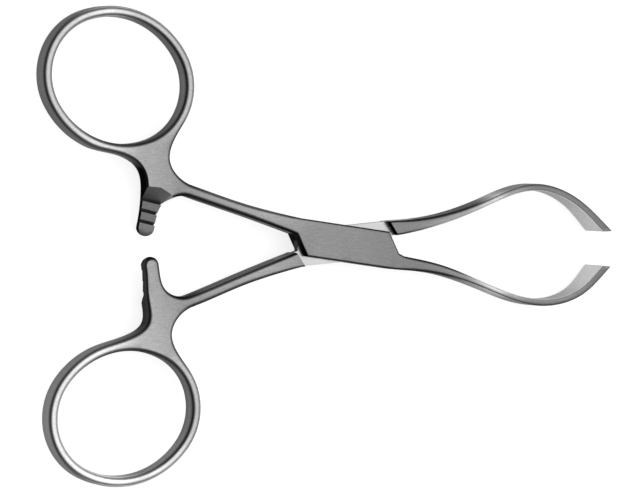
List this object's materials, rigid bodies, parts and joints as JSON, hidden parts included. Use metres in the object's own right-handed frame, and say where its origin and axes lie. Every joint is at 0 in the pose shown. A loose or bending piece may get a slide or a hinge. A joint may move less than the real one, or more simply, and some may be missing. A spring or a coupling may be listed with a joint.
{
  "type": "towel clamp",
  "caption": "Ring-handled towel clamp with a box lock, a ratchet and bowed jaws that end in wide blunt tips.",
  "frame": {"origin": "on the pin's axis, on the lower flat face of the box lock", "axes": "+X along the clamp from the finger rings to the jaw tips, +Z out of the upper flat face of the box lock"},
  "size_m": [0.0982, 0.0741, 0.0068],
  "materials": {
    "satin_steel": "satin"
  },
  "bodies": {
    "box_half": {"box_half": "satin_steel", "joint_pin": "satin_steel"},
    "tongue_half": {"tongue_half": "satin_steel"}
  },
  "joints": [
    {"name": "box_lock", "type": "hinge", "parent": "box_half", "child": "tongue_half", "pos_m": [0, 0, 0], "axis": [0, 0, 1], "range_deg": [-6.9, 35]}
  ]
}
